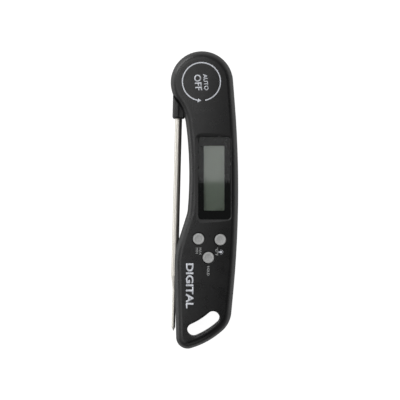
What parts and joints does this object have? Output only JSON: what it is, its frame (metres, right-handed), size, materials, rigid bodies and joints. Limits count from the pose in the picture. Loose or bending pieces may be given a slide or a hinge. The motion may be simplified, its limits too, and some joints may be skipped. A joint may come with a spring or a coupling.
{
  "type": "meat thermometer",
  "caption": "Folding instant-read meat thermometer: black handle with display, keys and hang hole, and a steel probe that swings out of the side on a round head.",
  "frame": {"origin": "on the flat back, under the middle of the bounding box with the probe folded shut", "axes": "+X along the handle from the hinge head to the hang hole, +Z out of the display, +Y across the handle away from the folded probe"},
  "size_m": [0.16, 0.0364, 0.0183],
  "materials": {
    "housing_black": "fine moulded texture, satin",
    "window_clear": "clear polished acrylic",
    "border_black": "printed gloss black",
    "adhesive_white": "foam tape",
    "lcd_grey": "switched-off display glass",
    "plastic_white": "moulded",
    "plastic_clear": "polished light guide",
    "rubber_black": "moulded",
    "rubber_pink": "striped conductive rubber",
    "rubber_grey": "moulded",
    "screw_steel": "zinc plated",
    "probe_steel": "drawn and polished stainless steel",
    "spring_steel": "hardened strip",
    "board_green": "solder mask",
    "chip_black": "moulded package",
    "component_tan": "ceramic",
    "led_yellow": "clear resin",
    "reed_glass": "drawn glass",
    "contact_nickel": "nickel plated",
    "acetal_cream": "self-lubricating",
    "ribbon_amber": "polyimide film",
    "lead_insulation": "thin sleeve",
    "potting_black": "cured resin",
    "bead_glass": "glass bead",
    "hub_black": "fine moulded texture, satin",
    "button_grey": "satin moulded",
    "cover_black": "fine moulded texture, satin"
  },
  "bodies": {
    "housing": {"front_housing": "housing_black", "rear_housing": "housing_black", "housing_gasket": "rubber_black", "housing_screws": "screw_steel", "display_window": "window_clear", "window_border": "border_black", "window_adhesive": "adhesive_white", "lcd_panel": "lcd_grey", "lcd_holder": "plastic_white", "light_guide": "plastic_clear", "contact_strip": "rubber_pink", "backlight_leds": "led_yellow", "circuit_board": "board_green", "board_screws": "screw_steel", "main_chip": "chip_black", "board_components": "component_tan", "reed_switch": "reed_glass", "dome_contacts": "spring_steel", "keypad_membrane": "rubber_grey", "hub_plate": "plastic_white", "hub_plate_screws": "screw_steel", "hub_bush_front": "acetal_cream", "hub_bush_rear": "acetal_cream", "hub_seal_rear": "rubber_black", "friction_washer": "spring_steel", "lead_ribbon": "ribbon_amber", "coin_cell": "contact_nickel", "battery_contact_negative": "contact_nickel", "battery_contact_positive": "contact_nickel", "battery_cover_seal": "rubber_black", "back_magnets": "contact_nickel"},
    "probe": {"probe_hub": "hub_black", "probe_tube": "probe_steel", "thermistor": "bead_glass", "sensor_leads": "lead_insulation", "hub_potting": "potting_black", "hub_seal_front": "rubber_black", "retaining_ring": "spring_steel", "switch_magnet": "contact_nickel"},
    "battery_cover": {"battery_cover": "cover_black"},
    "button_max_min": {"button_max_min": "button_grey"},
    "button_units_light": {"button_units_light": "button_grey"},
    "button_hold": {"button_hold": "button_grey"}
  },
  "joints": [
    {"name": "probe_fold", "type": "hinge", "parent": "housing", "child": "probe", "pos_m": [-0.0632, -0.00138, 0.009], "axis": [0, 0, -1], "range_deg": [0, 180]},
    {"name": "button_max_min_press", "type": "slide", "parent": "housing", "child": "button_max_min", "axis": [0, 0, -1], "range_m": [0, 0.0008], "stiffness_N_per_m": 1500, "springref_m": -0.0002},
    {"name": "button_units_light_press", "type": "slide", "parent": "housing", "child": "button_units_light", "axis": [0, 0, -1], "range_m": [0, 0.0008], "stiffness_N_per_m": 1500, "springref_m": -0.0002},
    {"name": "button_hold_press", "type": "slide", "parent": "housing", "child": "button_hold", "axis": [0, 0, -1], "range_m": [0, 0.0008], "stiffness_N_per_m": 1500, "springref_m": -0.0002},
    {"name": "battery_cover_twist", "type": "hinge", "parent": "housing", "child": "battery_cover", "pos_m": [0.0398, 0.00132, 0.001], "axis": [0, 0, -1], "range_deg": [0, 45]}
  ]
}
